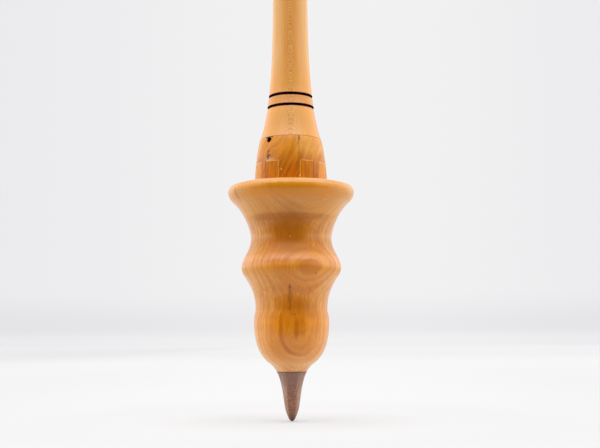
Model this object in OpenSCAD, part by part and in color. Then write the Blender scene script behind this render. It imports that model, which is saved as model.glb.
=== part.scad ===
// A hand-turned wooden supported spindle for spinning yarn.
// It stands with its point at the origin and its axis along +Z.
// Every piece is turned to one running outline, so the joints are flush:
// a hardwood tip, a whorl with a belly, a bead and a flared rim,
// a collar that is comb-jointed onto the whorl, and a long tapered shaft.

/* [Tip] */
// Height of the tip, from its point to its joint with the whorl
tip_len = 15.3; // [13:0.1:18]
// Height of the blunt nose at the point
nose_len = 2.5; // [1.5:0.1:4]
// Diameter of the tip at the top of its nose
nose_d = 3.4; // [2.6:0.1:4.4]
// Diameter of the tenon that holds the tip in the whorl
tip_tenon_d = 5; // [4:0.1:7]
// Length of that tenon
tip_tenon_len = 11; // [6:0.5:14]

/* [Belly and lower waist] */
// Diameter of the whorl where its hollow foot turns into the belly
foot_d = 13.7; // [12:0.1:16]
// Height of that turn above the joint with the tip
foot_rise = 2.4; // [1.5:0.1:4]
// Largest diameter of the belly
belly_d = 23.6; // [22:0.1:27]
// Height of that largest diameter above the joint with the tip
belly_rise = 14.9; // [12:0.1:20]
// Diameter of the lower waist
low_waist_d = 22.5; // [18:0.1:23]
// Height of the lower waist above the belly
low_waist_rise = 4.2; // [3.5:0.1:8]

/* [Bead and upper waist] */
// Diameter of the bead
bead_d = 31.4; // [26:0.1:36]
// Height of the bead above the lower waist
bead_rise = 12.9; // [10:0.1:16]
// Diameter of the upper waist
high_waist_d = 25.5; // [22:0.1:28]
// Height of the upper waist above the bead
high_waist_rise = 9.4; // [8:0.1:12]

/* [Rim] */
// Diameter of the rim
rim_d = 40; // [36:0.5:50]
// Height of the rim's widest line above the upper waist
rim_rise = 14.7; // [13:0.1:20]
// Radius of the round over the top of the rim
rim_round = 2.1; // [1.5:0.1:4]
// How far the rim's lip stands out beyond the flare that carries it, on each side
lip = 1.6; // [1:0.1:2.5]
// Depth of the lip, from the rim's widest line down to the flare
lip_drop = 3; // [2:0.1:4]

/* [Collar] */
// Height of the collar, from the top of the rim to the seam under the shaft
collar_len = 14.8; // [12:0.1:20]
// Diameter of the collar where it stands on the rim
collar_base_d = 23.1; // [21:0.1:26]
// Diameter of the collar and the shaft at the seam between them
seam_d = 19.6; // [17:0.1:20.5]

/* [Comb joint] */
// Height of the tongues that stand up from the whorl into the collar
tongue_h = 6.7; // [4:0.1:9]
// Width of the collar's broad middle finger, between the two inner tongues
middle_finger_w = 6.7; // [6:0.1:7.2]
// Width of each inner tongue
tongue_w = 4; // [3.5:0.1:4.4]
// Width of the collar's narrow finger between an inner and an outer tongue
side_finger_w = 1.6; // [1.2:0.1:1.8]
// Clearance for glue between a tongue and its slot, on each side
glue_line = 0.05; // [0.02:0.01:0.1]

/* [Shaft] */
// Length of the shaft above its seam with the collar
shaft_len = 201.6; // [170:0.1:240]
// Height above the seam where the flare has run out into the slim shaft
flare_len = 55; // [45:1:70]
// Diameter of the shaft there
grip_d = 11.1; // [9.5:0.1:12.5]
// Diameter of the straight end that the fingers flick
end_d = 7; // [5:0.1:8.5]
// Length of that straight end, without its rounded top
end_len = 12; // [8:0.5:20]
// Diameter of the tenon that runs down through the collar
shaft_tenon_d = 8; // [6:0.1:9.5]
// Length of that tenon inside the whorl, below the top of the rim
shaft_tenon_len = 20; // [12:0.5:24]

/* [Burnt lines] */
// Height of the lower burnt line above the seam
line_rise = 10.4; // [8:0.1:14]
// Distance between the two burnt lines
line_gap = 3.6; // [2:0.1:6]
// Diameter of the wire that burns them
wire_d = 0.95; // [0.6:0.05:1.5]
// Depth of the lines
line_depth = 0.3; // [0.15:0.05:0.4]

/* [Hidden] */
$fn = 96;
steps = 12; // straight runs in each curve of the outline

// Room left for glue at the blind end of a tenon, and the chamfer that lets the tenon in
glue_space = 0.5;
chamfer = 0.4;
// How far one solid reaches into another where they are joined or cut
reach = 1;

// Heights up the spindle, from the point
foot_z = tip_len + foot_rise;
belly_z = tip_len + belly_rise;
low_waist_z = belly_z + low_waist_rise;
bead_z = low_waist_z + bead_rise;
high_waist_z = bead_z + high_waist_rise;
rim_z = high_waist_z + rim_rise;
rim_top_z = rim_z + rim_round;
seam_z = rim_top_z + collar_len;
shaft_top_z = seam_z + shaft_len;
end_z = shaft_top_z - end_d / 2 - end_len;

// How steeply the outline widens, in radius for each unit of height, where it isn't in line with the axis
nose_slope = 0.42;
foot_slope = 1.45;
lip_slope = 1.1;
seam_slope = -0.36;
grip_slope = -0.008;

// How far the outline keeps its direction below and above each of its places, before it swings away
nose_hold = [1.2, 3.3];
foot_hold = [3.1, 2.9];
belly_hold = [3.7, 2.6];
low_waist_hold = [0.5, 7.4];
bead_hold = [2.2, 3.6];
high_waist_hold = [4.1, 3];
lip_hold = [3.2, 0.4];
rim_hold = [1.4, 0];
collar_hold = [0, 4.8];
seam_hold = [2, 11.8];
grip_hold = [17.2, 40];
end_hold = [40, 0];

// A place on the outline: its radius and height, its slope, and its hold below and above
function place(d, z, slope, hold) = [[d / 2, z], slope, hold];

// The place's point, moved along the outline's direction there by a height
function along(at, rise) = at[0] + rise * [at[1], 1];

// The cubic curve from one place up to the next, without its last point
function curve(low, high) = [
    for (i = [0 : steps - 1])
        let (
            t = i / steps,
            s = 1 - t,
            leave = along(low, low[2][1]),
            arrive = along(high, -high[2][0])
        )
            s * s * s * low[0] + 3 * s * s * t * leave + 3 * s * t * t * arrive + t * t * t * high[0]
];

// A quarter round that starts at the widest point of a round of radius r, and ends on top of it
function round_over(widest, r) = [
    for (i = [0 : steps]) widest + r * [cos(90 * i / steps) - 1, sin(90 * i / steps)]
];

nose = place(nose_d, nose_len, nose_slope, nose_hold);
foot = place(foot_d, foot_z, foot_slope, foot_hold);
belly = place(belly_d, belly_z, 0, belly_hold);
low_waist = place(low_waist_d, low_waist_z, 0, low_waist_hold);
bead = place(bead_d, bead_z, 0, bead_hold);
high_waist = place(high_waist_d, high_waist_z, 0, high_waist_hold);
under_lip = place(rim_d - 2 * lip, rim_z - lip_drop, lip_slope, lip_hold);
rim = place(rim_d, rim_z, 0, rim_hold);
collar_base = place(collar_base_d, rim_top_z, 0, collar_hold);
seam = place(seam_d, seam_z, seam_slope, seam_hold);
grip = place(grip_d, seam_z + flare_len, grip_slope, grip_hold);
shaft_end = place(end_d, end_z, 0, end_hold);

// The point itself: the nose leaves it bluntly, much wider than it is high
point = place(0, 0, 3.4, [0, 0.28]);

// The outline from the point to the top of the rim
foot_outline = concat(
    curve(point, nose),
    curve(nose, foot),
    curve(foot, belly),
    curve(belly, low_waist),
    curve(low_waist, bead),
    curve(bead, high_waist),
    curve(high_waist, under_lip),
    curve(under_lip, rim),
    round_over(rim[0], rim_round)
);

// The collar swells from the rim and draws in to the seam
collar_outline = concat(curve(collar_base, seam), [seam[0]]);

// The shaft flares out of the seam, tapers to its straight end and is rounded over the top
shaft_outline = concat(
    curve(seam, grip),
    curve(grip, shaft_end),
    [shaft_end[0]],
    round_over([end_d / 2, shaft_top_z - end_d / 2], end_d / 2)
);

// Radius of an outline at a height
function radius_at(z, outline) = lookup(z, [for (p = outline) [p[1], p[0]]]);

// The stretch of an outline between two heights, with a point exactly at each
function stretch(outline, low, high) = concat(
    [[radius_at(low, outline), low]],
    [for (p = outline) if (p[1] > low + 0.01 && p[1] < high - 0.01) p],
    [[radius_at(high, outline), high]]
);

// A tenon that hangs below a shoulder: its end is chamfered
function tenon_below(d, shoulder_z, end_z) = [
    [0, end_z],
    [d / 2 - chamfer, end_z],
    [d / 2, end_z + chamfer],
    [d / 2, shoulder_z]
];

// The same above a shoulder
function tenon_above(d, shoulder_z, end_z) = [
    [d / 2, shoulder_z],
    [d / 2, end_z - chamfer],
    [d / 2 - chamfer, end_z],
    [0, end_z]
];

// A hole for a tenon, with the glue line round it
module mortise(d, low, high) {
    translate([0, 0, low]) cylinder(d = d + 2 * glue_line, h = high - low);
}

// The round groove that a hot wire leaves in the shaft
module burnt_line(z) {
    sunk = wire_d / 2 - line_depth;
    rotate_extrude() translate([radius_at(z, shaft_outline) + sunk, z]) circle(d = wire_d, $fn = 24);
}

// One slab from front to back through the whole collar, between two places across it and two heights
module slab(left, right, low, high) {
    translate([left, -collar_base_d, low]) cube([right - left, 2 * collar_base_d, high - low]);
}

// The tongues of the comb joint, made wider by spare on each side: two inner ones between the
// collar's fingers, and two outer ones that reach out to the surface
module tongues(spare, low, high) {
    inner_near = middle_finger_w / 2;
    inner_far = inner_near + tongue_w;
    outer_near = inner_far + side_finger_w;
    slab(inner_near - spare, inner_far + spare, low, high);
    slab(-inner_far - spare, -inner_near + spare, low, high);
    slab(outer_near - spare, collar_base_d, low, high);
    slab(-collar_base_d, -outer_near + spare, low, high);
}

module shaft() {
    color([0.88, 0.69, 0.43])
    difference() {
        rotate_extrude() polygon(concat(
            tenon_below(shaft_tenon_d, seam_z, rim_top_z - shaft_tenon_len),
            stretch(shaft_outline, seam_z, shaft_top_z)
        ));
        burnt_line(seam_z + line_rise);
        burnt_line(seam_z + line_rise + line_gap);
    }
}

module collar() {
    color([0.78, 0.48, 0.2])
    difference() {
        rotate_extrude() polygon(concat(
            [[0, rim_top_z]],
            collar_outline,
            [[0, seam_z]]
        ));
        tongues(glue_line, rim_top_z - reach, rim_top_z + tongue_h + glue_line);
        mortise(shaft_tenon_d, rim_top_z - reach, seam_z + reach);
    }
}

module whorl() {
    color([0.83, 0.57, 0.29])
    difference() {
        union() {
            rotate_extrude() polygon(concat(
                [[0, tip_len]],
                stretch(foot_outline, tip_len, rim_top_z),
                [[0, rim_top_z]]
            ));
            intersection() {
                rotate_extrude() polygon(concat(
                    [[0, rim_top_z - reach], [collar_base_d / 2, rim_top_z - reach]],
                    stretch(collar_outline, rim_top_z, rim_top_z + tongue_h),
                    [[0, rim_top_z + tongue_h]]
                ));
                tongues(0, rim_top_z - reach, rim_top_z + tongue_h + reach);
            }
        }
        mortise(shaft_tenon_d, rim_top_z - shaft_tenon_len - glue_space, rim_top_z + tongue_h + reach);
        mortise(tip_tenon_d, tip_len - reach, tip_len + tip_tenon_len + glue_space);
    }
}

module tip() {
    color([0.42, 0.27, 0.2])
    rotate_extrude() polygon(concat(
        stretch(foot_outline, 0, tip_len),
        tenon_above(tip_tenon_d, tip_len, tip_len + tip_tenon_len)
    ));
}

shaft();
collar();
whorl();
tip();
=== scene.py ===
# %% [markdown]
# # A hand-turned wooden supported spindle
# Four pieces of wood, glued end to end and turned together on the lathe: a walnut tip, a golden
# whorl, an orange collar that is comb-jointed onto the whorl, and a long maple shaft with two burnt
# lines. It stands on its point in a white light tent. The tent's opening, on the camera's side, is
# dark.
#
# Lengths are written in millimetres here, and MM turns them into Blender's metres.

# %% Start: the imported CAD parts
import math

import bpy
from mathutils import Matrix, Vector


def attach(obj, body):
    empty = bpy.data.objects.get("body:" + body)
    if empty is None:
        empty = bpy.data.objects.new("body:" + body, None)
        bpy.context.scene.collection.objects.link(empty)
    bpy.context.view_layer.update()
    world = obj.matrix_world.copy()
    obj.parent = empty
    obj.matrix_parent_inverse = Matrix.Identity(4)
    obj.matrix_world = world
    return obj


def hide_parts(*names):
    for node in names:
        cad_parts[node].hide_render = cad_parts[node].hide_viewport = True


MM = 0.001
FULL_TURN = 2 * math.pi


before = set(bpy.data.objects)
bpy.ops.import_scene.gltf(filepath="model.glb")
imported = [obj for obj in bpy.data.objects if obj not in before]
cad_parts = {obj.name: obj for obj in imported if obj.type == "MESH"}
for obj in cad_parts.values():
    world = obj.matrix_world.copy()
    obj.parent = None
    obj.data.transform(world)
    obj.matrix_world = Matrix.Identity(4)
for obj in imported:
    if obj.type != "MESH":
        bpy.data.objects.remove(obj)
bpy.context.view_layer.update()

# %% [markdown]
# ## Node trees
# Every wood and every turned shape here is a node tree. A tree can be clicked together by hand, or be
# written node by node and link by link, which takes pages. One small class writes them instead:
# arithmetic on a flow adds the math nodes, so a mask reads as a sum. Any other node is added by its
# type, its settings and what goes into its sockets.


# %% The class that writes node trees
class Flow:
    """A value on its way through a node tree. Arithmetic on it adds nodes to that tree."""

    def __init__(self, tree, socket):
        self.tree = tree
        self.socket = socket

    def math(self, operation, *values):
        sockets = dict(enumerate(values))
        return add(self.tree, "ShaderNodeMath", sockets, operation=operation)

    def __add__(self, other):
        return self.math("ADD", self, other)

    def __radd__(self, other):
        return self.math("ADD", other, self)

    def __sub__(self, other):
        return self.math("SUBTRACT", self, other)

    def __rsub__(self, other):
        return self.math("SUBTRACT", other, self)

    def __mul__(self, other):
        return self.math("MULTIPLY", self, other)

    def __rmul__(self, other):
        return self.math("MULTIPLY", other, self)

    def __truediv__(self, other):
        return self.math("DIVIDE", self, other)

    def __pow__(self, other):
        return self.math("POWER", self, other)

    def __abs__(self):
        return self.math("ABSOLUTE", self)

    def sine(self):
        return self.math("SINE", self)

    def cosine(self):
        return self.math("COSINE", self)

    def root(self):
        return self.math("SQRT", self)

    def whole_part(self):
        return self.math("FLOOR", self)

    def part_after_point(self):
        return self.math("FRACT", self)

    def most(self, other):
        return self.math("MAXIMUM", self, other)


def add(tree, kind, sockets=None, output=0, **settings):
    """Adds one node: its settings, then a value or a flow for each socket. Gives the flow out of it."""
    node = tree.nodes.new(kind)
    for name, setting in settings.items():
        setattr(node, name, setting)
    for key, value in (sockets or {}).items():
        if isinstance(value, Flow):
            tree.links.new(value.socket, node.inputs[key])
        else:
            node.inputs[key].default_value = value
    return Flow(tree, node.outputs[output])


# %% [markdown]
# ## The outline
# On the real spindle all four pieces are turned together, so one running outline gives them all. It
# could be traced point by point, but then no size could be changed later without drawing it again. So
# it is made of curves between named places. Each place has a diameter, a height, a slope (how fast
# the radius grows with height) and a hold: how far the curve keeps that slope below and above, as a
# Bezier handle.


# %% Places, curves and rounds
def place(diameter, height, slope=0, below=0, above=0):
    """A place on the outline: its handle below, the place itself, and its handle above."""
    middle = Vector((diameter / 2, height))
    direction = Vector((slope, 1))
    return middle - below * direction, middle, middle + above * direction


def curve(low, high, steps=28):
    """Points of the cubic curve from one place up to the next, without its last point."""
    points = []
    for i in range(steps):
        t = i / steps
        s = 1 - t
        from_low = s**3 * low[1] + 3 * s * s * t * low[2]
        points.append(from_low + 3 * s * t * t * high[0] + t**3 * high[1])
    return points


def through(*places):
    """Points of the curves from each place to the next, with the last place's point."""
    points = []
    for low, high in zip(places, places[1:]):
        points += curve(low, high)
    return points + [places[-1][1]]


def arc(centre, radius, start, end, steps=14):
    """Points of an arc round a centre, between two angles in degrees from the outward direction."""
    points = []
    for i in range(steps + 1):
        angle = math.radians(start + (end - start) * i / steps)
        points.append(centre + radius * Vector((math.cos(angle), math.sin(angle))))
    return points


# %% The places on the spindle, and its outline
TIP_TOP = 15.3
RIM = 71.4
RIM_D = 40
RIM_ROUND = 2.1
RIM_TOP = RIM + RIM_ROUND
SEAM = 88.3
SHAFT_TOP = 289.9
END_D = 7

sharp_end = place(0, 0, 3.4, 0, 0.28)
nose = place(3.4, 2.5, 0.42, 1.2, 3.3)
foot = place(13.7, 17.7, 1.45, 3.1, 2.9)
belly = place(23.6, 30.2, 0, 3.7, 2.6)
low_waist = place(22.5, 34.4, 0, 0.5, 7.4)
bead = place(31.4, 47.3, 0, 2.2, 3.6)
high_waist = place(25.5, 56.7, 0, 4.1, 3)
under_lip = place(RIM_D - 3.2, RIM - 3, 1.1, 3.2, 0.4)
rim = place(RIM_D, RIM, 0, 1.4, 0)
collar_base = place(23.1, RIM_TOP, 0, 0, 4.8)
seam = place(19.6, SEAM, -0.36, 2, 11.8)
grip = place(11.1, SEAM + 55, -0.008, 17.2, 40)
shaft_end = place(END_D, 274.4, 0, 40, 0)

foot_outline = through(sharp_end, nose, foot, belly, low_waist, bead, high_waist, under_lip, rim)
foot_outline += arc(rim[1] - Vector((RIM_ROUND, 0)), RIM_ROUND, 0, 90)[1:]
collar_outline = through(collar_base, seam)
shaft_outline = through(seam, grip, shaft_end)
print("points on the outline:", len(foot_outline) + len(collar_outline) + len(shaft_outline))

# %% [markdown]
# ## The burnt lines
# On the real spindle a wire was held against the turning shaft, and it burnt two narrow grooves. A
# dark stripe alone would look printed on, because the outline would run on straight past it. So each
# line is also an arc of the wire's radius that dips into the outline, from where the wire enters to
# where it leaves.

# %% Burnt lines in the shaft's outline
BURNT_LINES = (98.7, 102.3)
WIRE_D = 0.95
LINE_DEPTH = 0.3
CLEAR_OF_GROOVE = 0.02


def radius_at(points, height):
    """The outline's radius at a height, between the two points next to it."""
    for a, b in zip(points, points[1:]):
        if a.y <= height <= b.y and b.y > a.y:
            return a.x + (b.x - a.x) * (height - a.y) / (b.y - a.y)
    return points[-1].x if height > points[-1].y else points[0].x


def with_groove(points, height):
    """The outline with a round groove at a height."""
    sunk = WIRE_D / 2 - LINE_DEPTH
    half_angle = math.degrees(math.acos(sunk / (WIRE_D / 2)))
    centre = Vector((radius_at(points, height) + sunk, height))
    groove = arc(centre, WIRE_D / 2, 180 + half_angle, 180 - half_angle, 10)
    below = [p for p in points if p.y < groove[0].y - CLEAR_OF_GROOVE]
    above = [p for p in points if p.y > groove[-1].y + CLEAR_OF_GROOVE]
    return below + groove + above


for height in BURNT_LINES:
    shaft_outline = with_groove(shaft_outline, height)
print("burnt lines at", BURNT_LINES, "mm up,", LINE_DEPTH, "mm deep")

# %% [markdown]
# ## Turning
# The lathe turns the wood and the gouge follows one outline. A Screw modifier could do the same, but
# the slots of the joint and the open flaw then need more modifiers and objects of their own. One
# Geometry Nodes tree does it all: the outline comes in as a string of edges, from the top of the
# piece down, and is carried round a small circle. Points that meet on the axis are merged, and what
# has to go is cut away. Edges sharper than a limit stay sharp.

# %% The tree that turns an outline
CIRCLE = 5 * MM
SAME_POINT = 0.002 * MM
TREE_INPUTS = {"Outline": "Geometry", "Segments": "Int", "Sharp angle": "Float", "Material": "Material"}


def carried_round(tree, outline, segments):
    """The skin that an outline leaves when it goes once round the axis."""
    mirrored = {"Geometry": outline, "Translation": (-CIRCLE, 0, 0), "Scale": (1, -1, 1)}
    string = add(tree, "GeometryNodeTransform", mirrored)
    string = add(tree, "GeometryNodeMeshToCurve", {0: string})
    path = {"Resolution": segments, "Radius": CIRCLE}
    circle = add(tree, "GeometryNodeCurvePrimitiveCircle", path, mode="RADIUS")
    skin = add(tree, "GeometryNodeCurveToMesh", {"Curve": circle, "Profile Curve": string})
    return add(tree, "GeometryNodeMergeByDistance", {"Geometry": skin, "Distance": SAME_POINT})


def with_crisp_edges(tree, piece, limit):
    """The piece shaded smooth, except along the edges where its faces meet at more than a limit."""
    piece = add(tree, "GeometryNodeSetShadeSmooth", {"Geometry": piece, "Shade Smooth": True})
    angle = add(tree, "GeometryNodeInputMeshEdgeAngle")
    blunt = add(tree, "FunctionNodeCompare", {0: angle, 1: limit}, operation="LESS_THAN")
    edges = {"Geometry": piece, "Shade Smooth": blunt}
    return add(tree, "GeometryNodeSetShadeSmooth", edges, domain="EDGE")


def turning_tree(name, cutters):
    """A tree with named inputs that turns the outline it is given. cutters add what is cut away."""
    tree = bpy.data.node_groups.new(name, "GeometryNodeTree")
    for label, kind in TREE_INPUTS.items():
        tree.interface.new_socket(label, in_out="INPUT", socket_type="NodeSocket" + kind)
    tree.interface.new_socket("Piece", in_out="OUTPUT", socket_type="NodeSocketGeometry")
    group = tree.nodes.new("NodeGroupInput")
    given = {socket.name: Flow(tree, socket) for socket in group.outputs if socket.name}

    piece = carried_round(tree, given["Outline"], given["Segments"])
    for cutter in cutters:
        away = {"Mesh 1": piece, "Mesh 2": cutter(tree)}
        piece = add(tree, "GeometryNodeMeshBoolean", away, operation="DIFFERENCE", solver="MANIFOLD")
    piece = with_crisp_edges(tree, piece, given["Sharp angle"])
    piece = add(tree, "GeometryNodeRealizeInstances", {"Geometry": piece})
    piece = add(tree, "GeometryNodeSetMaterial", {"Geometry": piece, "Material": given["Material"]})
    out = tree.nodes.new("NodeGroupOutput")
    tree.links.new(piece.socket, out.inputs[0])
    return tree


# %% [markdown]
# A piece could stay a live node tree on its outline, but the library takes plain meshes. So the
# tree's result becomes a mesh of its own, and the lathe, an object that only holds the outline and
# the tree, is taken away again once the piece has been turned.

# %% From an outline to a piece
SHARP_ANGLE = math.radians(32)


def put_in_scene(name, data):
    """A new object in the scene, at the origin."""
    thing = bpy.data.objects.new(name, data)
    bpy.context.scene.collection.objects.link(thing)
    return thing


def string_of(name, outline, closed):
    """An outline as a string of edges, from its top down. A closed one ends where it began."""
    down = [(p[0] * MM, p[1] * MM, 0) for p in reversed(outline)]
    edges = [(i, i + 1) for i in range(len(down) - 1)]
    if closed:
        edges.append((len(down) - 1, 0))
    string = bpy.data.meshes.new(name + "_outline")
    string.from_pydata(down, edges, [])
    return string


def turned_mesh(name, string, cutters, values):
    """The plain mesh that the turning tree makes of a string, with these values at its inputs."""
    lathe = put_in_scene(name + "_lathe", string)
    modifier = lathe.modifiers.new("Turning", "NODES")
    modifier.node_group = turning_tree(name + "_turning", cutters)
    for item in modifier.node_group.interface.items_tree:
        if item.name in values:
            modifier[item.identifier] = values[item.name]
    lathe.update_tag()
    graph = bpy.context.evaluated_depsgraph_get()
    mesh = bpy.data.meshes.new_from_object(lathe.evaluated_get(graph))
    bpy.data.objects.remove(lathe)
    if mesh.materials[0] is None:  # the cut leaves an empty first slot
        mesh.materials.pop(index=0)
    return mesh


def turned(name, outline, material, segments, cutters=(), closed=False):
    """Turns an outline, given from the bottom up, into the mesh that stands for its CAD node."""
    values = {"Segments": segments, "Sharp angle": SHARP_ANGLE, "Material": material}
    mesh = turned_mesh(name, string_of(name, outline, closed), cutters, values)
    mesh.name = name + "_turned"
    piece = put_in_scene(name + "_turned", mesh)
    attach(piece, "root")
    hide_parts(name)
    heights = [v.co.z / MM for v in mesh.vertices]
    low, high = round(min(heights), 2), round(max(heights), 2)
    print(name, "has", len(mesh.polygons), "faces and goes from", low, "to", high, "mm")


# %% [markdown]
# ## Wood
# Solid wood isn't painted on: rings, fibres and pores run through it, and turning lays them open. A
# picture of wood wrapped round a piece would stretch over the bead and show a seam. So every texture
# here is a function of the place in the block, in mm, and it runs on round the sides and edges.


# %% Places in the wood
def new_material(name):
    """An empty material, and where a point of it is, in mm."""
    material = bpy.data.materials.new(name)
    material.use_nodes = True
    tree = material.node_tree
    tree.nodes.clear()
    at = add(tree, "ShaderNodeTexCoord", output="Object")
    return material, add(tree, "ShaderNodeVectorMath", {0: at, 1: (1 / MM,) * 3}, operation="MULTIPLY")


def parts(at):
    """The x, y and z of a vector."""
    node = add(at.tree, "ShaderNodeSeparateXYZ", {0: at}).socket.node
    return [Flow(at.tree, socket) for socket in node.outputs]


def vector(x, y=0.0, z=0.0):
    """The vector with this x, y and z."""
    return add(x.tree, "ShaderNodeCombineXYZ", {0: x, 1: y, 2: z})


def noise(at, per_mm, detail=2.0, shift=0.0):
    """Smooth noise from 0 to 1, with so many grains per mm along x, y and z."""
    stretch = {0: at, 1: per_mm, 2: (shift, shift * 0.7, shift * 1.3)}
    place_in_it = add(at.tree, "ShaderNodeVectorMath", stretch, operation="MULTIPLY_ADD")
    sockets = {"Vector": place_in_it, "Scale": 1.0, "Detail": detail, "Roughness": 0.5}
    return add(at.tree, "ShaderNodeTexNoise", sockets)


def facing(at, azimuth):
    """How far a point lies across and towards an azimuth in degrees, in mm. Azimuth 0 faces -Y."""
    x, y, _ = parts(at)
    sine, cosine = math.sin(math.radians(azimuth)), math.cos(math.radians(azimuth))
    return x * cosine + y * sine, x * sine - y * cosine


# %% Masks and colours
END_FADE = 0.15


def step(value, low, high):
    """0 below low, 1 above high, and smooth in between. It falls if low is above high."""
    if low > high:
        return 1 - step(value, high, low)
    sockets = {"Value": value, "From Min": low, "From Max": high}
    return add(value.tree, "ShaderNodeMapRange", sockets, interpolation_type="SMOOTHSTEP")


def near(value, centre, half_width, soft):
    """1 where a value lies within half_width of a centre, fading over a soft edge."""
    return step(abs(value - centre), half_width + soft, half_width)


def any_of(first, *others):
    """The strongest of several masks at each place."""
    for other in others:
        first = first.most(other)
    return first


def this_side(towards):
    """1 on the side of the axis that faces an azimuth, where facing() gives a positive distance."""
    return step(towards, 0.0, 1.0)


def oval(at, azimuth, height, half_width, half_height, soft=0.35):
    """1 inside an oval on the surface, round a place given by its azimuth and its height."""
    across, towards = facing(at, azimuth)
    z = parts(at)[2]
    reach = ((across / half_width) ** 2 + ((z - height) / half_height) ** 2).root()
    return step(reach, 1 + soft, 1 - soft) * this_side(towards)


def upright(at, azimuth, half_width, low, high, wander):
    """1 on a thin upright line at an azimuth, between two heights. It wanders by so many mm."""
    across, towards = facing(at, azimuth)
    z = parts(at)[2]
    across = across + 2 * wander * (noise(at, (0.1, 0.1, 0.6), 2.0, azimuth) - 0.5)
    ends = step(z, low - END_FADE, low + END_FADE) * step(z, high + END_FADE, high - END_FADE)
    return near(across, 0.0, half_width, half_width) * ends * this_side(towards)


def mix(factor, first, second):
    """A colour between two colours."""
    colours = {0: factor, 6: first, 7: second}
    return add(factor.tree, "ShaderNodeMix", colours, output=2, data_type="RGBA", clamp_factor=True)


def colour(red, green, blue):
    """A colour with full alpha, in linear light."""
    return red, green, blue, 1.0


# %% [markdown]
# ## The finish
# The wood was oiled and polished on the lathe. What looks like colour is partly reflection: the dark
# opening of the tent shows in the middle of each bulge, and the white cloth at its sides. The clear
# coat mirrors them by itself. The deeper colour that goes with them is laid on as painted shade, by a
# mask of how far a place faces the camera, because a lamp that did it would also change the floor.

# %% Oiled, rubbed and burnt wood
CAMERA_SLANT = 0.05
OILED = 0.26
FIBRE_ROUGHNESS = 0.06
FIBRE_RELIEF = 0.003


def towards_camera(at):
    """1 where the turned surface faces the camera, 0 at its sides, and less behind."""
    x, y, _ = parts(at)
    return (CAMERA_SLANT * x - y) / (x * x + y * y).root()


def oiled(fibre):
    """The roughness of oiled wood, a little higher along its fibres."""
    return OILED + FIBRE_ROUGHNESS * fibre


def polished(base, roughness, height, relief=FIBRE_RELIEF, coat=0.35, shine=0.5):
    """Polished wood: a colour, a roughness and a relief of so many mm under a thin clear coat."""
    raised = {"Height": height, "Distance": relief * MM, "Strength": 1.0}
    normal = add(base.tree, "ShaderNodeBump", raised)
    sockets = {"Base Color": base, "Roughness": roughness, "Normal": normal}
    sockets |= {"Coat Weight": coat, "Coat Roughness": 0.12, "Specular IOR Level": shine}
    return add(base.tree, "ShaderNodeBsdfPrincipled", sockets)


def dulled(surface, base, dull):
    """The same surface, without its shine where dull is 1."""
    sockets = {"Base Color": base, "Roughness": 0.9, "Specular IOR Level": 0.0}
    matt_wood = add(surface.tree, "ShaderNodeBsdfPrincipled", sockets)
    return add(surface.tree, "ShaderNodeMixShader", {0: dull, 1: surface, 2: matt_wood})


def charred(surface, burnt):
    """The same surface, with charcoal that reflects next to nothing where burnt is 1."""
    char = add(surface.tree, "ShaderNodeBsdfDiffuse", {"Color": colour(0.016, 0.003, 0.005)})
    return add(surface.tree, "ShaderNodeMixShader", {0: burnt, 1: surface, 2: char})


def finish_off(material, surface):
    """Gives a material its surface."""
    tree = material.node_tree
    output = tree.nodes.new("ShaderNodeOutputMaterial")
    tree.links.new(surface.socket, output.inputs["Surface"])
    print(material.name, "is a tree of", len(tree.nodes), "nodes")
    return material


# %% [markdown]
# ## The lines of the comb joint
# Tongues of the whorl stand in slots of the collar. Squeezed out glue, sanded flush, draws pale lines
# over the tongues and along the middle finger, and the narrow fingers outside have dark ones. The
# gaps could be left open, but the real ones are filled flush. So the lines are colours at the joint's
# own places, and both woods take them from here.

# %% Glue lines and dark lines
TONGUE_TOP = 80.2
MIDDLE_FINGER_W = 6.7
TONGUE_W = 4
SIDE_FINGER_W = 1.6
INNER_NEAR = MIDDLE_FINGER_W / 2
INNER_FAR = INNER_NEAR + TONGUE_W
OUTER_NEAR = INNER_FAR + SIDE_FINGER_W
GLUE_TINT = colour(0.90, 0.60, 0.24)
DARK_LINE_TINT = colour(0.10, 0.025, 0.002)


def below_tongue_tops(z):
    """1 where the tongues are, up to their tops."""
    return step(z, TONGUE_TOP + 0.1, TONGUE_TOP - 0.1)


def glue_lines(at):
    """The pale lines: level on the tongues' tops, upright along the middle finger, and patchy."""
    x, _, z = parts(at)
    across = abs(x)
    patchy = step(noise(at, (0.9, 0.9, 0.9), 2.0, 31.0), 0.36, 0.52)
    inner = near(across, INNER_NEAR + TONGUE_W / 2, TONGUE_W / 2, 0.1)
    outer = step(across, OUTER_NEAR - 0.1, OUTER_NEAR)
    level = near(z, TONGUE_TOP, 0.07, 0.11) * any_of(inner, outer)
    face = near(across, INNER_NEAR, 0.05, 0.09) * below_tongue_tops(z)
    return any_of(level * (0.45 + 0.55 * patchy), 0.8 * face * (0.25 + 0.75 * patchy))


def dark_lines(at):
    """The dark lines where an inner tongue meets the narrow finger outside it."""
    x, _, z = parts(at)
    return near(abs(x), INNER_FAR, 0.05, 0.12) * below_tongue_tops(z)


# %% [markdown]
# ## The golden whorl
# The growth rings lie nearly flat in this block and face the camera, turned a little to the right. So
# the turned shape cuts them into contour lines: ovals on the bead and the belly, arches under the
# rim. The ovals could be drawn one by one, but then they would fit the shape from one side only. So
# the rings are what they are in the tree, layers at a depth in the block, and the shape lays them
# open by itself. Only the bead's two eyes and a few dark hearts are drawn as ovals, because no even
# layer gives them.

# %% Growth rings of the whorl
RING_AT = 15.0
RING_WIDTH = 1.7
RING_TURN = math.radians(15.4)
RING_TWIST = math.radians(8)
LEAN = 0.12
LEAN_BELOW = 28.4


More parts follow.
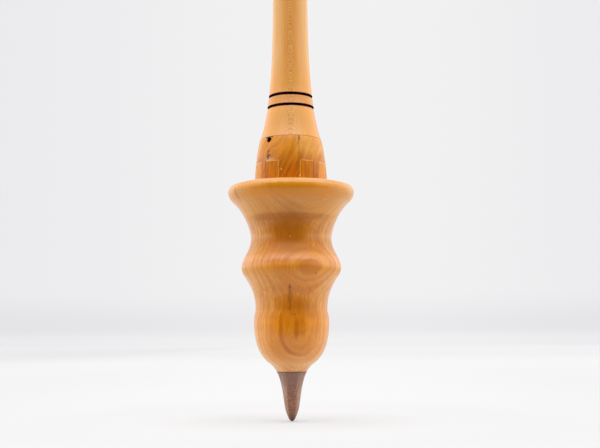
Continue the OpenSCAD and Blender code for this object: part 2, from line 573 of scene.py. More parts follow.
def depth_in_block(at):
    """How far a point lies from the axis across the growth rings, in mm, with the rings' own bends."""
    x, y, z = parts(at)
    turn = RING_TURN + RING_TWIST * step(z, 31.0, 46.0)
    depth = x * turn.sine() - y * turn.cosine()
    depth = depth + LEAN * (LEAN_BELOW - z).most(0.0)
    depth = depth + 0.9 * (noise(at, (0.09, 0.09, 0.07), 1.0) - 0.5)
    return depth + 0.35 * (noise(at, (0.5, 0.5, 0.12), 2.0, 7.0) - 0.5)


def late_wood(depth):
    """The dark late wood of each ring: sharp at one side, fading at the other, darker in some rings."""
    ring = (depth - RING_AT) / RING_WIDTH
    inside = ring.part_after_point()
    late = (1 - inside) ** 1.6 * step(inside, 0.0, 0.12)
    return late * (0.3 + 1.2 * noise(vector(ring.whole_part() * 3.7), (1.0, 1.0, 1.0), 0.0))


def fine_layers(at, depth):
    """Fine dark lines between the rings, nearly level with them."""
    x, _, z = parts(at)
    layers = vector(depth, 0.04 * x, 0.03 * z)
    return step(noise(layers, (1.5, 1.5, 1.5), 1.0, 2.0), 0.42, 0.62)


# %% [markdown]
# The colours could be one long ramp, but then no stain could be moved by itself. So they go on in the
# order of a painter: the ground first, then the grain, the stains and painted shade, the eyes, and last
# the small marks. Each mask has a name, and its heights are those of the real piece. The stem is the
# stretch between the lower waist and the bead.


# %% Ground and grain of the whorl
def golden_ground(at, front):
    """The gold of the wood. Painted light: deep in front, pale at the sides and the foot, lighter
    flare, bead highlight.
    """
    x, _, z = parts(at)
    # The foot faces the floor: its paler colour is a painted reflection of the white floor.
    painted_floor_sheen_on_foot = 0.9 * step(z, 23.0, 16.5)
    left_of_stem = 0.3 * step(x, -1.0, -5.0) * near(z, 40.5, 6.0, 2.5)
    # A painted highlight on the top of the bead.
    painted_highlight_on_bead = 0.5 * near(z, 48.7, 0.9, 0.8)
    # Painted shade and sheen: deeper where the surface faces the camera, paler at its sides.
    base = mix(step(front, 0.60, 0.99), colour(1.0, 0.50, 0.10), colour(0.92, 0.333, 0.016))
    base = mix(painted_floor_sheen_on_foot, base, colour(0.95, 0.56, 0.20))
    base = mix(left_of_stem, base, colour(1.0, 0.54, 0.12))
    base = mix(painted_highlight_on_bead, base, colour(1.0, 0.47, 0.20))
    # The flare's lighter colour, with its edge at about 63 mm, is a painted sheen.
    painted_sheen_on_flare = mix(step(front, 0.6, 0.95), colour(0.97, 0.46, 0.075), colour(1.0, 0.415, 0.045))
    return mix(step(z, 62.6, 64.2), base, painted_sheen_on_flare)


def with_grain(base, at, depth, fibre):
    """Rings, layers, clouds, fibres and pores over the ground. The flare and the rim are calmer."""
    z = parts(at)[2]
    busy = 1 - 0.50 * step(z, 60.0, 62.5) - 0.10 * step(z, 68.0, 70.0)
    cloud = step(noise(at, (0.16, 0.16, 0.09), 2.0, 11.0), 0.4, 0.75)
    pores = step(noise(at, (5.5, 5.5, 1.1), 1.0, 5.0), 0.6, 0.75)
    base = mix(0.50 * busy * late_wood(depth), base, colour(0.72, 0.15, 0.001))
    base = mix(0.46 * busy * fine_layers(at, depth), base, colour(0.74, 0.20, 0.003))
    base = mix(0.18 * busy * cloud, base, colour(0.74, 0.20, 0.003))
    base = mix(0.44 * busy * step(fibre, 0.42, 0.68), base, colour(0.70, 0.165, 0.002))
    return mix(0.25 * pores, base, colour(0.42, 0.10, 0.002))


# %% Stains, painted shade and eyes of the whorl
BAR_WIDTH = 1.1
RIGHT_EYE = (24.0, 46.8)
MIDDLE_EYE = (-1.0, 45.9)


def with_stains_and_painted_shade(base, at, front):
    """Dark patches, partly stains and partly painted shade, level bands of painted shade, and dark
    strands.
    """
    z = parts(at)[2]
    # Partly stains, partly painted shade: the ovals in front of both waists and low on the belly are
    # painted shade.
    stains_and_painted_shade = any_of(
        0.9 * oval(at, 2.0, 58.0, 5.0, 6.4, 0.6),
        0.8 * oval(at, 12.0, 34.4, 4.6, 3.2, 0.6),
        0.5 * oval(at, -32.0, 61.6, 5.0, 1.9, 0.6),
        0.3 * oval(at, 4.0, 23.8, 5.0, 4.0, 0.7),
        0.5 * oval(at, -1.0, 31.0, 1.8, 2.8, 0.6),
    )
    # Painted shade in level bands: under the flare in front, and in the hollows over the bead and at
    # the lower waist.
    painted_shade_under_flare = 0.3 * near(z, 62.4, 0.7, 0.5) * step(front, 0.3, 0.8)
    painted_shade_above_bead = 0.30 * near(z, 53.5, 2.0, 1.4)
    painted_shade_under_stem = 0.10 * near(z, 33.4, 1.2, 1.8)
    strands = step(noise(at, (1.7, 1.7, 0.10), 3.0, 13.0), 0.42, 0.66)
    strands = strands * any_of(near(z, 58.0, 4.5, 1.5), near(z, 36.5, 4.0, 2.0))
    base = mix(painted_shade_under_flare, base, colour(0.46, 0.12, 0.001))
    base = mix(painted_shade_above_bead, base, colour(0.46, 0.15, 0.001))
    base = mix(painted_shade_under_stem, base, colour(0.50, 0.14, 0.001))
    base = mix(0.60 * stains_and_painted_shade, base, colour(0.46, 0.115, 0.001))
    return mix(0.34 * strands, base, colour(0.50, 0.12, 0.001))


def with_eyes(base, at, front):
    """The bead's deep band in front, painted shade, and its eyes: the right one in a pale halo, the
    middle one barred.
    """
    x, _, z = parts(at)
    halo = oval(at, *RIGHT_EYE, 5.0, 3.3, 0.2) - oval(at, *RIGHT_EYE, 4.0, 2.5, 0.2)
    # Painted shade: the bead's deep amber band where it faces the camera.
    painted_deep_front = 0.5 * near(z, 46.5, 1.3, 1.0) * step(front, 0.5, 0.95)
    bars = step(abs((x / BAR_WIDTH).part_after_point() - 0.5), 0.1, 0.4)
    right_eye = 0.7 * oval(at, *RIGHT_EYE, 3.9, 2.4, 0.25)
    middle_eye = (0.1 + 0.5 * bars) * oval(at, *MIDDLE_EYE, 4.6, 1.3, 0.35)
    base = mix(0.40 * halo, base, colour(1.0, 0.48, 0.08))
    base = mix(painted_deep_front, base, colour(1.0, 0.36, 0.008))
    return mix(0.62 * any_of(right_eye, middle_eye), base, colour(0.60, 0.15, 0.001))


# %% Small marks of the whorl
def split_in_stem(at):
    """A short dark split above the lower waist."""
    line = upright(at, -0.3, 0.20, 33.8, 41.0, 0.5)
    return any_of(line, 0.7 * oval(at, 1.2, 38.6, 0.7, 2.0, 0.7))


def with_marks(base, at, depth, split):
    """The belly's hearts and dark ring, the split with its crack (its open head is painted shade),
    flecks, and streaks.
    """
    x, _, z = parts(at)
    hearts = any_of(oval(at, 9.5, 28.2, 0.8, 2.9, 0.3), 0.5 * oval(at, 19.3, 28.6, 1.1, 2.7, 0.3))
    left_of_belly = step(z, 34.0, 30.0) * step(z, 17.5, 19.5) * step(x, 7.0, -1.0)
    dark_ring = near(depth, 10.4, 0.08, 0.3) * left_of_belly
    # The crack's open head: its dark is painted shade, mixed with the dark flecks of the wood.
    crack_void_shade = oval(at, 0.2, 41.0, 0.30, 0.6, 0.5)
    flecks = any_of(oval(at, 7.5, 32.66, 0.22, 0.22), oval(at, 32.5, 44.94, 0.28, 0.28))
    pale_flecks = any_of(oval(at, 38.5, 67.19, 0.22, 0.22), oval(at, 0.5, 56.3, 0.2, 0.2))
    pale_flecks = any_of(pale_flecks, oval(at, 33.0, 53.7, 0.2, 0.2))
    streaks = any_of(oval(at, -57.5, 69.8, 0.7, 1.9, 0.7), oval(at, -15.5, 70.5, 0.7, 0.9, 0.5))
    base = mix(0.55 * hearts, base, colour(0.44, 0.09, 0.001))
    base = mix(0.36 * dark_ring, base, colour(0.36, 0.055, 0.001))
    base = mix(0.75 * split, base, colour(0.42, 0.09, 0.001))
    base = mix(any_of(0.8 * crack_void_shade, 0.7 * flecks), base, colour(0.22, 0.040, 0.001))
    base = mix(0.7 * pale_flecks, base, colour(0.95, 0.62, 0.25))
    return mix(0.55 * streaks, base, colour(0.42, 0.11, 0.003))


# %% [markdown]
# The tongues' ends lie in the collar, flush with it. They are wood of the whorl, but in the
# photograph they are as dark as the collar, with upright grain. A second material would end at the
# edge of a face. So the whorl's own colour changes above the rim, by a mask of the height.


# %% Rim and tongues of the whorl
def on_outer_tongues(at):
    """0 on the inner tongues, and 1 on the outer ones."""
    return step(abs(parts(at)[0]), 6.5, 9.5)


def tongue_colour(at, fibre):
    """The colour of the tongues' ends, with the lines of the joint."""
    grain = noise(at, (1.3, 1.3, 0.05), 3.0, 21.0)
    base = mix(step(grain, 0.35, 0.7), colour(0.76, 0.250, 0.002), colour(0.54, 0.160, 0.001))
    base = mix(0.7 * on_outer_tongues(at), base, colour(0.92, 0.39, 0.03))
    base = mix(0.4 * step(fibre, 0.45, 0.75), base, colour(0.36, 0.085, 0.001))
    base = mix(0.6 * dark_lines(at), base, DARK_LINE_TINT)
    return mix(0.75 * glue_lines(at), base, GLUE_TINT)


def with_rim(base, at, front, fibre, inlet):
    """The rim: a deep band in front and a darker round top, both painted shade. Above it come the
    tongues.
    """
    z = parts(at)[2]
    # Painted shade: the rim's deep amber band where it faces the camera.
    painted_deep_front = 0.8 * near(z, 69.9, 1.3, 0.7) * step(front, 0.5, 0.95)
    # Painted shade that darkens the rim's round top, which faces the softbox.
    painted_shade_on_rim_top = 0.8 * step(z, 72.1, 72.7)
    base = mix(painted_deep_front, base, colour(1.0, 0.34, 0.002))
    base = mix(painted_shade_on_rim_top, base, colour(0.58, 0.24, 0.03))
    return mix(inlet, base, tongue_colour(at, fibre))


# %% [markdown]
# In the hollows over the bead and over the belly the real whorl mirrors almost nothing, as where a
# polishing cloth hardly reaches. A rougher surface would still catch the white tent, so the coat is
# thinned in those bands, and half of the shine itself is taken off where they face the camera.


# %% Material of the whorl
def coat_of_whorl(at, inlet, split):
    """How much clear coat lies on the whorl: little in the hollows and in three narrow bands."""
    z = parts(at)[2]
    hollows = any_of(near(z, 53.2, 2.4, 0.8), near(z, 31.5, 3.0, 1.5))
    bands = any_of(near(z, 46.0, 0.8, 0.5), near(z, 62.6, 0.9, 0.5), near(z, 68.9, 0.9, 0.5))
    return 0.35 - 0.3 * any_of(hollows, bands, inlet, split)


def dullness_of_whorl(at, front, inlet):
    """How dull the whorl is: half dull in the hollows, in front, and duller on the tongues' ends."""
    z = parts(at)[2]
    hollows = any_of(near(z, 53.4, 1.5, 1.0), near(z, 31.5, 2.0, 1.5))
    tongues = inlet * (0.7 - 0.4 * on_outer_tongues(at))
    return any_of(0.5 * hollows * step(front, 0.5, 0.95), tongues)


def whorl_wood():
    """Golden fruitwood, from the ground colour up to the coat."""
    material, at = new_material("whorl_wood")
    z = parts(at)[2]
    depth = depth_in_block(at)
    front = towards_camera(at)
    fibre = noise(at, (3.2, 3.2, 0.22), 3.0, 3.0)
    inlet = step(z, RIM_TOP + 0.02, RIM_TOP + 0.08)
    split = split_in_stem(at)

    base = with_grain(golden_ground(at, front), at, depth, fibre)
    base = with_eyes(with_stains_and_painted_shade(base, at, front), at, front)
    base = with_marks(base, at, depth, split)
    base = with_rim(base, at, front, fibre, inlet)
    roughness = oiled(fibre) + 0.14 * near(z, 47.0, 1.6, 1.2)
    surface = polished(base, roughness, fibre, coat=coat_of_whorl(at, inlet, split))
    return finish_off(material, dulled(surface, base, dullness_of_whorl(at, front, inlet)))


# %% [markdown]
# ## The orange collar
# Its grain slants from upper right to lower left, so the noise that stands for the grain is sheared
# before it is stretched: a Wave texture would be too even for it. There is one knot with pale filler,
# which the grain bends round, one check at the top edge, and one open flaw, which is a hole in the
# mesh.

# %% Grain of the collar
SEAM_TINT = colour(0.26, 0.09, 0.02)


def orange_ground(at, slanted, fibre):
    """The collar's colour: deep below as painted shade over the rim, lighter above, palest upper right
    as painted light.
    """
    x, _, z = parts(at)
    grain = noise(slanted, (0.75, 0.4, 0.07), 3.0, 2.0)
    upper = mix(step(grain, 0.32, 0.72), colour(0.96, 0.37, 0.022), colour(0.70, 0.22, 0.004))
    # The deeper colours below are painted shade over the whorl's rim.
    lower_in_painted_shade = mix(step(grain, 0.35, 0.7), colour(0.66, 0.198, 0.0008), colour(0.42, 0.104, 0.0005))
    # Painted light on the upper right.
    painted_light_upper_right = 0.4 * step(z, 80.5, 84.0) * step(x, 0.5, 4.5)
    upper = mix(painted_light_upper_right, upper, colour(1.0, 0.52, 0.10))
    base = mix(step(z, 85.0, 77.0), upper, lower_in_painted_shade)
    return mix(0.28 * step(fibre, 0.45, 0.75), base, colour(0.50, 0.125, 0.002))


# %% Marks of the collar
FLAW_AZIMUTH = -40
KNOT_AZIMUTH = -37.0


def with_knot(base, at):
    """The knot with its pale filler, its split, and the check at the top edge."""
    pale_arm = 0.7 * oval(at, -31.0, 80.7, 1.1, 0.25, 0.5)
    filler = any_of(oval(at, KNOT_AZIMUTH, 80.7, 0.9, 0.55, 0.5), pale_arm)
    holes = step(noise(at, (1.1, 1.1, 1.1), 2.0, 44.0), 0.46, 0.56)
    knot = 0.85 * (oval(at, KNOT_AZIMUTH, 82.0, 0.8, 2.1, 0.4) * holes)
    faint_end = 0.4 * upright(at, 15.6, 0.10, 82.0, 86.8, 0.6)
    check = 0.9 * any_of(upright(at, 17.0, 0.14, 86.6, 88.2, 0.25), faint_end)
    split = 0.6 * upright(at, -38.5, 0.12, 80.5, 83.5, 0.4)
    base = mix(0.8 * filler, base, colour(0.92, 0.62, 0.34))
    return mix(any_of(knot, check, split), base, colour(0.10, 0.02, 0.01))


def flaw_pit(at):
    """1 on the walls of the open flaw, which are as dark as charcoal."""
    across, towards = facing(at, FLAW_AZIMUTH)
    z = parts(at)[2]
    return near(towards, 9.0, 0.75, 0.2) * near(across, 0.0, 1.3, 0.3) * step(z, 85.5, 86.0)


# %% Material of the collar
def collar_wood():
    """Orange fruitwood with the lines of the joint, its marks and a dark line at the seam."""
    material, at = new_material("collar_wood")
    x, y, z = parts(at)
    bend_round_knot = 2.4 * oval(at, -38.0, 84.0, 2.2, 4.0, 0.8)
    slanted = vector(x - 0.5 * z + bend_round_knot, y, z)
    fibre = noise(slanted, (3.4, 3.4, 0.2), 2.0, 9.0)
    specks = any_of(oval(at, -12.5, 77.3, 0.2, 0.28), oval(at, 17.0, 75.2, 0.3, 0.42))

    base = orange_ground(at, slanted, fibre)
    base = mix(0.75 * glue_lines(at), base, GLUE_TINT)
    base = mix(0.6 * dark_lines(at), base, DARK_LINE_TINT)
    base = with_knot(base, at)
    base = mix(0.8 * specks, base, colour(0.95, 0.68, 0.34))
    base = mix(0.6 * step(z, SEAM - 0.26, SEAM - 0.1), base, SEAM_TINT)
    surface = polished(base, oiled(fibre), fibre, coat=0.15, shine=0.3)
    return finish_off(material, charred(surface, flaw_pit(at)))


# %% [markdown]
# ## The maple shaft
# Light and even, with faint upright streaks. Turning left tiny level ridges. Each one cuts the thin
# growth rings a little higher or deeper and tips the reflection up and down, so down the middle they
# show as a ladder of short dark and bright dashes. Real ridges would take thousands of faces and still
# be smaller than a pixel. So the ladder is worked out in the colour, as ring lines and as painted
# highlights and shade: the depth in the wood, pushed to and fro by the ridges, runs through a sine
# wave.

# %% Ladder of the shaft
RIDGE_SPACING = 1.55
RIDGE_SHARE = 0.08
THIN_RING = 0.16


def ladder_of_rings_and_glints(at):
    """A wave from -1 to 1 along the dashes (ring lines and painted glints), and a mask of the middle
    strip.
    """
    z = parts(at)[2]
    ripple = z / RIDGE_SPACING + 1.2 * noise(at, (0.05, 0.05, 0.25), 1.0, 4.0)
    across, towards = facing(at, 3.0)
    ladder = (towards + RIDGE_SHARE * (ripple * FULL_TURN).sine()) / THIN_RING
    middle = step(abs(across), 2.2, 0.9) * this_side(towards)
    return (ladder * FULL_TURN).sine(), middle


# %% Material of the shaft
def with_burns(base, z):
    """The scorched wood round the burnt lines, and the darker stripe between them."""
    scorched = any_of(*(near(z, line, 0.42, 0.35) for line in BURNT_LINES))
    between = near(z, sum(BURNT_LINES) / 2, 2.2, 0.8)
    base = mix(0.35 * scorched, base, colour(0.40, 0.11, 0.02))
    return mix(0.35 * between, base, colour(0.60, 0.17, 0.012))


def shaft_wood():
    """Light maple, warmer towards the collar, deeper in front as painted shade, with its ladder and
    burnt lines.
    """
    material, at = new_material("shaft_wood")
    z = parts(at)[2]
    front = towards_camera(at)
    streak = noise(at, (2.2, 2.2, 0.02), 3.0, 2.0)
    fibre = noise(at, (4.0, 4.0, 0.12), 2.0, 9.0)
    ladder, middle = ladder_of_rings_and_glints(at)
    burnt = any_of(*(near(z, line, 0.40, 0.12) for line in BURNT_LINES))

    # Painted shade and sheen: deeper where the shaft faces the camera, paler at its sides.
    base = mix(step(front, 0.75, 1.0), colour(0.96, 0.50, 0.13), colour(1.0, 0.43, 0.085))
    base = mix(step(z, 116.0, 104.0), base, colour(0.98, 0.43, 0.066))
    base = mix(0.38 * step(streak, 0.42, 0.68), base, colour(0.88, 0.31, 0.035))
    base = mix(0.35 * step(z, 98.0, 92.0), base, colour(0.76, 0.32, 0.05))
    base = mix(0.12 * step(fibre, 0.45, 0.75), base, colour(0.74, 0.27, 0.04))
    # The ladder's dark and light dashes: ring lines, and painted shade and highlights of the ridges.
    base = mix(0.34 * middle * step(ladder, 0.1, 0.8), base, colour(0.60, 0.17, 0.015))
    base = mix(0.50 * middle * step(ladder, -0.2, -0.9), base, colour(1.0, 0.58, 0.22))
    base = mix(0.6 * step(z, SEAM + 0.14, SEAM + 0.04), base, SEAM_TINT)
    surface = polished(with_burns(base, z), oiled(fibre), fibre)
    return finish_off(material, charred(surface, burnt))


# %% [markdown]
# ## The walnut tip
# Dark, with long open pores that have caught a little pale polish, and a darker point. The pores
# could be drawn as short strokes, but noise that is stretched upwards and cut off high gives them in
# the right number and never twice the same.


# %% Material of the tip
def tip_wood():
    """Walnut: pale sides as painted sheen, red-brown low in front as painted shade, dark at the point
    and the joint.
    """
    material, at = new_material("tip_wood")
    z = parts(at)[2]
    front = towards_camera(at)
    fibre = noise(at, (2.0, 2.0, 0.15), 3.0, 2.0)
    grain = noise(at, (6.5, 6.5, 3.0), 1.0, 15.0)
    pores = step(noise(at, (6.0, 6.0, 2.2), 1.0, 5.0), 0.57, 0.67) * step(z, 13.0, 9.0)
    # Painted shade: deeper red-brown low on the side that faces the camera.
    painted_shade_low_in_front = 0.75 * step(z, 11.0, 5.0) * step(front, 0.75, 0.95)

    # Painted sheen: paler at the sides, deeper where the tip faces the camera.
    base = mix(step(front, 0.72, 0.99), colour(0.56, 0.33, 0.245), colour(0.29, 0.128, 0.082))
    base = mix(0.6 * step(fibre, 0.3, 0.7), base, colour(0.20, 0.080, 0.048))
    base = mix(0.5 * step(z, 10.0, 14.0), base, colour(0.34, 0.18, 0.135))
    base = mix(painted_shade_low_in_front, base, colour(0.25, 0.078, 0.030))
    base = mix(0.4 * step(grain, 0.5, 0.66), base, colour(0.13, 0.045, 0.025))
    base = mix(0.75 * pores, base, colour(0.66, 0.36, 0.22))
    base = mix(0.7 * step(z, 4.5, 0.0), base, colour(0.09, 0.03, 0.02))
    base = mix(0.7 * step(z, TIP_TOP - 0.4, TIP_TOP - 0.2), base, colour(0.05, 0.02, 0.015))
    return finish_off(material, polished(base, 0.46 + 0.1 * fibre, fibre, relief=0.008, coat=0.1))


# %% [markdown]
# ## The slots of the comb joint
# A saw cuts straight from front to back through both blocks before they are glued and turned. Here
# the turned pieces are cut with the same slabs, so tongues and fingers end in the same round surface
# and lie flush, which would be hard to get if each finger were modelled alone. The gap is finer than
# in the CAD, where it stands for the glue, because here it is filled.

# %% Slabs of the comb joint
SPARE = 0.004
OVERCUT = 1
THROUGH = 40
OUTSIDE = 20


def slab(tree, left, right, low, high):
    """A slab from front to back through the collar, between two places across it and two heights."""
    size = ((right - left) * MM, THROUGH * MM, (high - low) * MM)
    middle = ((left + right) / 2 * MM, 0, (low + high) / 2 * MM)
    box = add(tree, "GeometryNodeMeshCube", {"Size": size})
    return add(tree, "GeometryNodeTransform", {"Geometry": box, "Translation": middle})


def slabs(tree, sides, low, high):
    """Slabs between several pairs of places across the collar, as one shape."""
    node = tree.nodes.new("GeometryNodeJoinGeometry")
    for left, right in sides:
        tree.links.new(slab(tree, left, right, low, high).socket, node.inputs[0])
    return Flow(tree, node.outputs[0])


def slots(tree):
    """What the tongues take out of the collar."""
    sides = [(INNER_NEAR - SPARE, INNER_FAR + SPARE), (OUTER_NEAR - SPARE, OUTSIDE)]
    sides += [(-right, -left) for left, right in sides]
    return slabs(tree, sides, RIM_TOP - OVERCUT, TONGUE_TOP + SPARE)


def fingers(tree):
    """What the collar's fingers take out of the whorl's tongues."""
    sides = [(-INNER_NEAR, INNER_NEAR), (INNER_FAR, OUTER_NEAR), (-OUTER_NEAR, -INNER_FAR)]
    return slabs(tree, sides, RIM_TOP + SPARE, TONGUE_TOP + OVERCUT)


# %% [markdown]
# ## The open flaw
# Just under the seam the turning opened a small bark pocket, about 1.2 mm across. A dark spot would
# look flat, and a bump doesn't shade itself. So it is a real hole: a little ball, roughened by noise,
# is cut out of the collar at its top edge.

# %% The flaw's cutter
FLAW_FROM_AXIS = 10.2
FLAW_HEIGHT = 87.25
FLAW_RADII = (0.95, 1.0, 0.98)
FLAW_ROUGHNESS = 0.8


def flaw(tree):
    """A rough little body that is cut out of the collar under its top edge."""
    ball = add(tree, "GeometryNodeMeshIcoSphere", {"Radius": 1.0, "Subdivisions": 4})
    place_on_it = add(tree, "GeometryNodeInputPosition")
    rough = {"Vector": place_on_it, "Scale": 1.7, "Detail": 2.0}
    rough = add(tree, "ShaderNodeTexNoise", rough, output="Color")
    rough = add(tree, "ShaderNodeVectorMath", {0: rough, 1: (0.5, 0.5, 0.5)}, operation="SUBTRACT")
    rough = add(tree, "ShaderNodeVectorMath", {0: rough, "Scale": FLAW_ROUGHNESS}, operation="SCALE")
    ball = add(tree, "GeometryNodeSetPosition", {"Geometry": ball, "Offset": rough})
    azimuth = math.radians(FLAW_AZIMUTH)
    out = FLAW_FROM_AXIS * MM
    sockets = {"Geometry": ball, "Rotation": (0, 0, azimuth)}
    sockets["Translation"] = (out * math.sin(azimuth), -out * math.cos(azimuth), FLAW_HEIGHT * MM)
    sockets["Scale"] = [radius * MM for radius in FLAW_RADII]
    return add(tree, "GeometryNodeTransform", sockets)


# %% [markdown]
# ## The four pieces
# Each is turned with the part of itself that is hidden in the next one: the shaft and the tip with
# their tenons, the whorl and the collar with their mortises. Hidden parts could be left out of a
# picture, but the pieces are also taken apart and used one by one, and then each has to be whole.

# %% Tip and whorl
TIP_TENON_R = 2.5
TENON_HIGH = TIP_TOP + 11
SHAFT_TENON_R = 4
TENON_LOW = RIM_TOP - 20
CHAMFER = 0.4
GLUE = 0.05
END_ROOM = 0.5
SAME_HEIGHT = 0.01


def cut(points, low, high):
    """The stretch of an outline between two heights, with a point exactly at each."""
    kept = [p for p in points if low + SAME_HEIGHT < p.y < high - SAME_HEIGHT]
    return [Vector((radius_at(points, low), low)), *kept, Vector((radius_at(points, high), high))]


tip_outline = cut(foot_outline, 0, TIP_TOP)
tip_outline += [(TIP_TENON_R, TIP_TOP), (TIP_TENON_R, TENON_HIGH - CHAMFER)]
tip_outline += [(TIP_TENON_R - CHAMFER, TENON_HIGH), (0, TENON_HIGH)]
turned("tip", tip_outline, tip_wood(), segments=160)

hole_top = TENON_HIGH + END_ROOM
hole_r = TIP_TENON_R + GLUE
tip_hole = [(0, hole_top), (hole_r, hole_top), (hole_r, TIP_TOP)]
mortise_foot = TENON_LOW - END_ROOM
mortise_r = SHAFT_TENON_R + GLUE
mortise = [(mortise_r, TONGUE_TOP), (mortise_r, mortise_foot), (0, mortise_foot)]
whorl_outline = cut(foot_outline, TIP_TOP, RIM_TOP) + cut(collar_outline, RIM_TOP, TONGUE_TOP)
whorl_outline = tip_hole + whorl_outline + mortise
turned("whorl", whorl_outline, whorl_wood(), segments=256, cutters=[fingers])

# %% Collar and shaft
sleeve = [(mortise_r, RIM_TOP), *collar_outline, (mortise_r, SEAM)]
cutters = [slots, flaw]
turned("collar", sleeve, collar_wood(), segments=320, cutters=cutters, closed=True)

tenon = [(0, TENON_LOW), (SHAFT_TENON_R - CHAMFER, TENON_LOW), (SHAFT_TENON_R, TENON_LOW + CHAMFER)]
rounded = arc(Vector((0, SHAFT_TOP - END_D / 2)), END_D / 2, 0, 90)
stick = tenon + [(SHAFT_TENON_R, SEAM)] + shaft_outline + rounded
turned("shaft", stick, shaft_wood(), segments=192)

# %% [markdown]
# ## The light tent
# The spindle stands in a white tent on a white floor. The tent's opening, where the camera looks in,
# is dark: that is why the middle of each bulge is deep orange and its sides are pale. A few lamps in
# an empty room would light the wood as well, but a polished surface shows what stands round it. So
# the tent is a white world, with a dark sheet where its opening is, a dark table before the floor,
# and one soft lamp overhead.


# %% Stage materials
def matt(name, tint):
    """A plain matt material."""
    material, at = new_material(name)
    surface = add(at.tree, "ShaderNodeBsdfPrincipled", {"Base Color": tint, "Roughness": 0.9})
    return finish_off(material, surface)


def to_the_sides(x):
    """0 in the middle of the cloth, and 1 far to the left and right."""
    return step(abs(x), 300.0, 2300.0)


def cloth(x):
    """Lit white cloth, a little greyer towards both sides."""
    return mix(0.8 * to_the_sides(x), colour(0.888, 0.880, 0.890), colour(0.82, 0.81, 0.83))


def backdrop_white():
    """Lit white cloth with a soft grey band above the floor."""
    material, at = new_material("backdrop_white")
    x, _, z = parts(at)
    band = step(z, 30.0, 110.0) * step(z, 360.0, 130.0)
    tint = mix(band * (0.5 + 0.5 * to_the_sides(x)), cloth(x), colour(0.78, 0.77, 0.79))
    return finish_off(material, add(at.tree, "ShaderNodeEmission", {"Color": tint, "Strength": 1.0}))


# %% [markdown]
# Round the point the floor is white card in daylight, and far behind it has to meet the backdrop
# without a line. Light alone leaves a step of brightness there. So with distance the card turns into
# lit cloth.


# %% The floor's white
def floor_card_with_painted_light(at):
    """White card with painted light and shade: whitest round the point, greyer to the sides and far
    left, lighter behind.
    """
    x, y, _ = parts(at)
    reach = (x * x + y * y).root()
    # Painted light: the card is whiter round the point, which thins the point's shadow.
    tint = mix(step(reach, 80.0, 30.0), colour(0.572, 0.574, 0.578), colour(0.606, 0.613, 0.621))
    tint = mix(step(reach, 30.0, 6.0), tint, colour(0.640, 0.648, 0.660))
    # Painted shade to the sides, painted light further back, and painted shade far to the left.
    tint = mix(0.5 * step(abs(x), 40.0, 170.0), tint, colour(0.525, 0.528, 0.536))
    tint = mix(step(y, 60.0, 950.0), tint, colour(0.70, 0.70, 0.706))
    tint = mix(step(y, 1100.0, 3600.0), tint, colour(0.76, 0.76, 0.765))
    return mix(0.6 * step(x, -200.0, -480.0), tint, colour(0.62, 0.62, 0.625))


def floor_white():
    """White card near the spindle, and lit cloth far behind it."""
    material, at = new_material("floor_white")
    x, y, _ = parts(at)
    sockets = {"Base Color": floor_card_with_painted_light(at), "Roughness": 0.9}
    card = add(at.tree, "ShaderNodeBsdfPrincipled", sockets)
    lit = add(at.tree, "ShaderNodeEmission", {"Color": cloth(x), "Strength": 1.0})
    far = step(y, 1500.0, 4600.0)
    return finish_off(material, add(at.tree, "ShaderNodeMixShader", {0: far, 1: card, 2: lit}))


# %% Floor, backdrop and opening, in metres
FLOOR_FRONT = -0.088
FLOOR_BACK = 6.0
HALF_WIDTH = 4.0
WALL_FOOT = -0.1
WALL_TOP = 3.0
OPENING_AT = -0.45
OPENING_LEFT = -0.56
OPENING_RIGHT = 0.50
OPENING_TOP = 0.38
TABLE = -0.01


def sheet_of(name, material, x, y, z):
    """A flat stage piece between two ends each in x, y and z. A wall has the same y at both."""
    (left, right), (front, back), (low, high) = x, y, z
    corners = [(left, front, low), (right, front, low), (right, back, high), (left, back, high)]
    mesh = bpy.data.meshes.new(name)
    mesh.from_pydata(corners, [], [(0, 1, 2, 3)])
    mesh.materials.append(material)
    piece = put_in_scene(name, mesh)
    print(name, "goes from", corners[0], "to", corners[2], "m")


whole_width = (-HALF_WIDTH, HALF_WIDTH)
dark = matt("dark_room", colour(0.02, 0.02, 0.02))
sheet_of("floor", floor_white(), whole_width, (FLOOR_FRONT, FLOOR_BACK), (0, 0))
wall = (WALL_FOOT, WALL_TOP)
sheet_of("backdrop", backdrop_white(), whole_width, (FLOOR_BACK, FLOOR_BACK), wall)
opening = (OPENING_LEFT, OPENING_RIGHT)
sheet_of("tent_opening", dark, opening, (OPENING_AT, OPENING_AT), (TABLE, OPENING_TOP))
sheet_of("dark_table", dark, whole_width, (OPENING_AT, FLOOR_FRONT), (TABLE, TABLE))

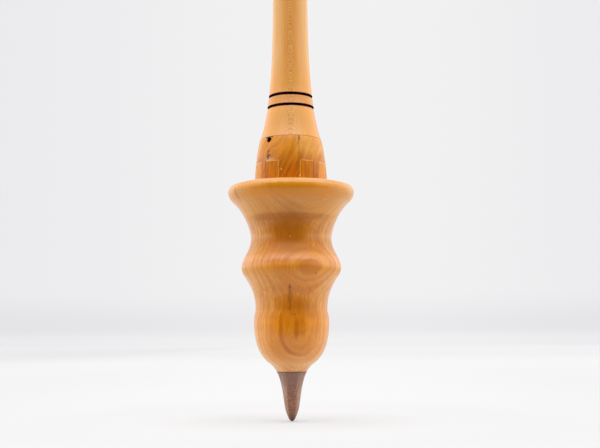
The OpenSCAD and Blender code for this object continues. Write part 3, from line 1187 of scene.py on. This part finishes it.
# %% Daylight and the softbox
TENT_LIGHT = 1.25
SOFTBOX_SIZE = (1.2, 1.0)
SOFTBOX_WATTS = 5.0
SOFTBOX_AT = (0, -0.22, 0.72)

world = bpy.data.worlds.new("tent")
bpy.context.scene.world = world
world.use_nodes = True
daylight = world.node_tree.nodes["Background"]
daylight.inputs["Color"].default_value = colour(1.0, 1.0, 1.0)
daylight.inputs["Strength"].default_value = TENT_LIGHT

softbox = bpy.data.lights.new("softbox", "AREA")
softbox.shape = "RECTANGLE"
softbox.size, softbox.size_y = SOFTBOX_SIZE
softbox.energy = SOFTBOX_WATTS
overhead = put_in_scene("softbox", softbox)
overhead.location = SOFTBOX_AT
bpy.context.scene.view_settings.view_transform = "Standard"
print("daylight of", TENT_LIGHT, "and a softbox of", SOFTBOX_WATTS, "W")

# %% [markdown]
# ## The camera
# Its place could be found by eye, but then it would be a little off. So it was fitted to the burnt
# rings, the seam and the silhouette. It stands low, 25 mm above the table and 306 mm away, and looks up
# by 7 degrees, so the rings on the shaft arch upwards.

# %% Camera
DISTANCE = 306
EYE_HEIGHT = 24.7
ASIDE = 2.8
AZIMUTH = math.radians(2)
PITCH = math.radians(6.86)
ROLL = math.radians(-0.33)
FOCAL_LENGTH = 58.3
SENSOR_WIDTH = 36
NEAREST = 0.01

lens = bpy.data.cameras.new("camera")
lens.sensor_width = SENSOR_WIDTH
lens.lens = FOCAL_LENGTH
lens.clip_start = NEAREST
camera = put_in_scene("camera", lens)
bpy.context.scene.camera = camera
sidewards = Vector((math.cos(AZIMUTH), math.sin(AZIMUTH), 0))
outwards = Vector((math.sin(AZIMUTH), -math.cos(AZIMUTH), 0))
eye = (DISTANCE * outwards + ASIDE * sidewards + Vector((0, 0, EYE_HEIGHT))) * MM
aim = Matrix.Rotation(AZIMUTH, 4, "Z") @ Matrix.Rotation(math.pi / 2 + PITCH, 4, "X")
camera.matrix_world = Matrix.Translation(eye) @ aim @ Matrix.Rotation(ROLL, 4, "Z")
print("camera at", [round(v / MM, 1) for v in eye], "mm")
